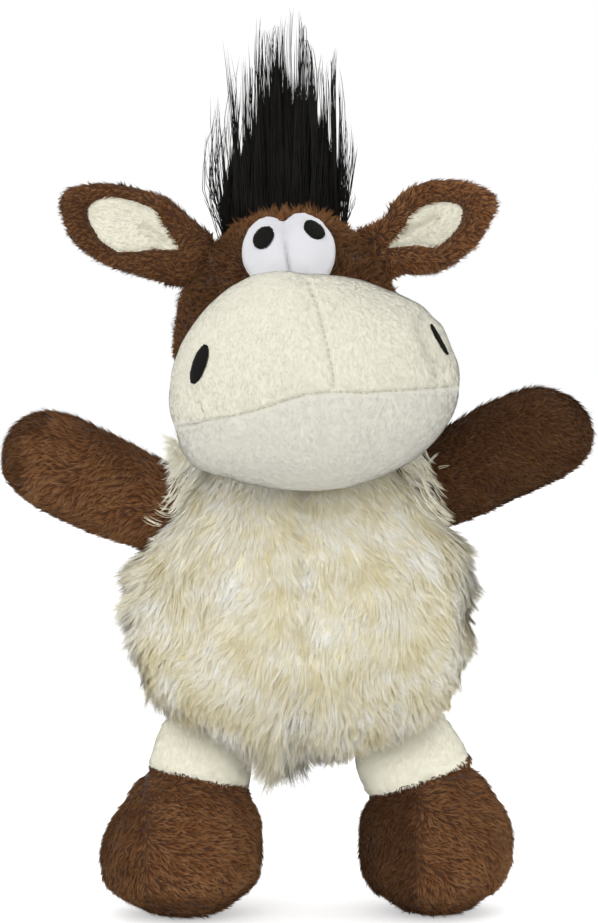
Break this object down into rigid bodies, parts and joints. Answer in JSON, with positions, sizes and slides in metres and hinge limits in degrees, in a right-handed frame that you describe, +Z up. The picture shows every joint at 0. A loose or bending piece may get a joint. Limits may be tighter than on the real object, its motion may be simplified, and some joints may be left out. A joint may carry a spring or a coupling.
{
  "type": "plush donkey dog toy",
  "caption": "Sewn and stuffed standing donkey toy for dogs, with a shaggy body, a padded muzzle, an upright mane, floppy limbs and a squeaker inside.",
  "frame": {"origin": "centre of the toy's footprint box, on the surface that it stands on", "axes": "+Z up, -Y is the way the donkey faces, +X to the right of a viewer in front of it"},
  "size_m": [0.2202, 0.1542, 0.3174],
  "materials": {
    "body_fur": "long shaggy pile, cream mottled with beige and grey",
    "brown_plush": "short soft pile, matte",
    "cream_velour": "very short velour pile, matte",
    "white_cloth": "smooth brushed cloth",
    "black_stitching": "satin stitch, slight sheen",
    "mane_hair": "long soft hair with a slight sheen",
    "stuffing": "loose white fibre",
    "squeaker_vinyl": "soft blow-moulded skin",
    "squeaker_plug": "moulded, matte"
  },
  "bodies": {
    "body": {"body_front_left": "body_fur", "body_front_right": "body_fur", "body_back": "body_fur", "body_filling": "stuffing", "squeaker_bellows": "squeaker_vinyl"},
    "squeaker": {"squeaker_plug": "squeaker_plug"},
    "head": {"head_cover": "brown_plush", "head_filling": "stuffing", "muzzle_left": "cream_velour", "muzzle_right": "cream_velour", "muzzle_jaw": "cream_velour", "eye_whites": "white_cloth", "mane": "mane_hair", "pupil_left": "black_stitching", "pupil_right": "black_stitching", "nostril_left": "black_stitching", "nostril_right": "black_stitching"},
    "left_ear": {"ear_left": "brown_plush", "ear_lining_left": "cream_velour"},
    "right_ear": {"ear_right": "brown_plush", "ear_lining_right": "cream_velour"},
    "left_arm": {"arm_left": "brown_plush", "arm_filling_left": "stuffing"},
    "right_arm": {"arm_right": "brown_plush", "arm_filling_right": "stuffing"},
    "left_leg": {"cuff_left": "cream_velour", "foot_left": "brown_plush", "sole_left": "brown_plush", "leg_filling_left": "stuffing"},
    "right_leg": {"cuff_right": "cream_velour", "foot_right": "brown_plush", "sole_right": "brown_plush", "leg_filling_right": "stuffing"},
    "tail": {"tail": "brown_plush", "tail_tuft": "mane_hair"}
  },
  "joints": [
    {"name": "neck_nod", "type": "hinge", "parent": "body", "child": "head", "pos_m": [0.00271, 0.01691, 0.17542], "axis": [0.9851, 0.1297, 0.1132], "range_deg": [-14, 6], "stiffness_Nm_per_rad": 1.5},
    {"name": "left_ear_flap", "type": "hinge", "parent": "head", "child": "left_ear", "pos_m": [-0.03806, 0.01557, 0.24326], "axis": [0.3969, 0.1245, 0.9094], "range_deg": [-35, 35], "stiffness_Nm_per_rad": 0.05},
    {"name": "right_ear_flap", "type": "hinge", "parent": "head", "child": "right_ear", "pos_m": [0.03282, 0.0249, 0.24436], "axis": [-0.3572, 0.1003, 0.9286], "range_deg": [-35, 35], "stiffness_Nm_per_rad": 0.05},
    {"name": "left_shoulder", "type": "hinge", "parent": "body", "child": "left_arm", "pos_m": [-0.04636, 0.01336, 0.14942], "axis": [0, 1, 0], "range_deg": [-30, 25], "stiffness_Nm_per_rad": 0.3},
    {"name": "right_shoulder", "type": "hinge", "parent": "body", "child": "right_arm", "pos_m": [0.04736, 0.01432, 0.15642], "axis": [0, 1, 0], "range_deg": [-25, 30], "stiffness_Nm_per_rad": 0.3},
    {"name": "left_hip", "type": "hinge", "parent": "body", "child": "left_leg", "pos_m": [-0.03229, 0.00791, 0.06806], "axis": [0.9781, 0, -0.2079], "range_deg": [-50, 12], "stiffness_Nm_per_rad": 3},
    {"name": "right_hip", "type": "hinge", "parent": "body", "child": "right_leg", "pos_m": [0.03771, 0.00791, 0.06673], "axis": [0.9483, 0, 0.3173], "range_deg": [-50, 12], "stiffness_Nm_per_rad": 3},
    {"name": "tail_swing", "type": "hinge", "parent": "body", "child": "tail", "pos_m": [0.00271, 0.05416, 0.08742], "axis": [1, 0, 0], "range_deg": [-5, 60], "stiffness_Nm_per_rad": 0.05},
    {"name": "squeaker_squeeze", "type": "slide", "parent": "body", "child": "squeaker", "axis": [0, 0, -1], "range_m": [0, 0.008], "stiffness_N_per_m": 400, "deforming": ["squeaker_bellows"]}
  ]
}
